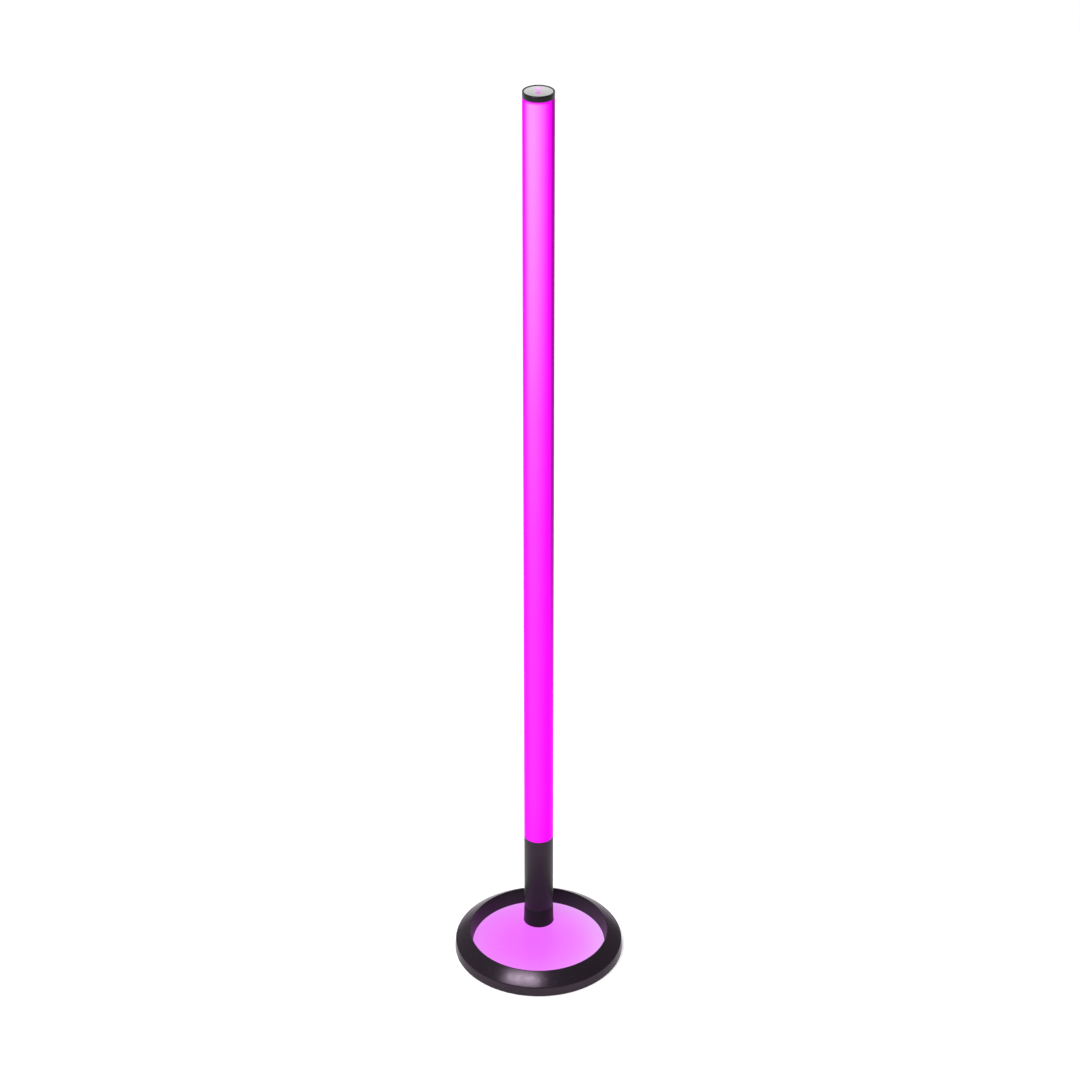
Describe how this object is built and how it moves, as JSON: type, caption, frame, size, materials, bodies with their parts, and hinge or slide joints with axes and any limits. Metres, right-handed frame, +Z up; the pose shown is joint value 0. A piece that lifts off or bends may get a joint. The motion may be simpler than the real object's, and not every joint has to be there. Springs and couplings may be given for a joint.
{
  "type": "led light tube",
  "caption": "Tall lit tube with a dark sleeve, standing at the back of a round bevelled base with a glowing recessed floor.",
  "frame": {"origin": "on the floor, under the centre of the round base", "axes": "+Z up along the tube, +X to the right, +Y to the back, where the tube stands and the power inlet is"},
  "size_m": [0.22, 0.22, 1.18],
  "materials": {
    "dark_shell": "satin, very dark plum moulding",
    "dark_sleeve": "dark anodised, satin",
    "black_plastic": "satin black moulding",
    "opal_tube": "glossy opal diffuser, lit magenta",
    "light_guide": "smooth clear acrylic over white dots, lit pink from its edge",
    "cap_silver": "satin silver",
    "lit_button": "translucent, lit pink from below",
    "rubber": "matt rubber pads",
    "plate_steel": "black powder coat",
    "screw_steel": "blackened zinc",
    "reflector": "white film",
    "circuit_board": "solder resist",
    "film": "amber insulating film",
    "chip_black": "moulded component bodies",
    "led": "LED packages",
    "led_strip": "white flexible strip",
    "connector": "ivory connector body",
    "core_aluminium": "mill finish extrusion",
    "cable": "flat and round insulated leads"
  },
  "bodies": {
    "base": {"rubber_feet": "rubber", "base_plate": "plate_steel", "base_screws": "screw_steel", "ballast_ring": "plate_steel", "base_ring": "dark_shell", "reflector_sheet": "reflector", "light_guide": "light_guide", "edge_led_strip": "led_strip", "edge_leds": "led", "board_film": "film", "power_board": "circuit_board", "power_chips": "chip_black", "dc_inlet": "black_plastic", "base_ribbon": "cable", "pole_socket": "dark_shell", "socket_screws": "screw_steel", "base_connector": "connector"},
    "pole": {"sleeve": "dark_sleeve", "sleeve_plug": "black_plastic", "plug_screws": "screw_steel", "pole_connector": "connector", "control_board": "circuit_board", "board_chips": "chip_black", "harness_lower": "cable", "harness_upper": "cable", "lower_coupler": "black_plastic", "diffuser_tube": "opal_tube", "led_core": "core_aluminium", "led_strip_front": "led_strip", "led_strip_back": "led_strip", "strip_leds_front": "led", "strip_leds_back": "led", "top_holder": "black_plastic", "end_cap": "black_plastic", "cap_plate": "cap_silver", "button_board": "circuit_board", "board_screws": "screw_steel", "button_switches": "chip_black", "indicator_leds": "led", "button_cable": "cable"},
    "power_key": {"power_button": "lit_button"},
    "mode_key": {"mode_button": "lit_button"}
  },
  "joints": [
    {"name": "pole_lift", "type": "slide", "parent": "base", "child": "pole", "axis": [0, 0, 1], "range_m": [0, 0.017]},
    {"name": "power_press", "type": "slide", "parent": "pole", "child": "power_key", "axis": [0, 0, -1], "range_m": [0, 0.0006], "stiffness_N_per_m": 800, "springref_m": -0.0005},
    {"name": "mode_press", "type": "slide", "parent": "pole", "child": "mode_key", "axis": [0, 0, -1], "range_m": [0, 0.0006], "stiffness_N_per_m": 800, "springref_m": -0.0005}
  ]
}
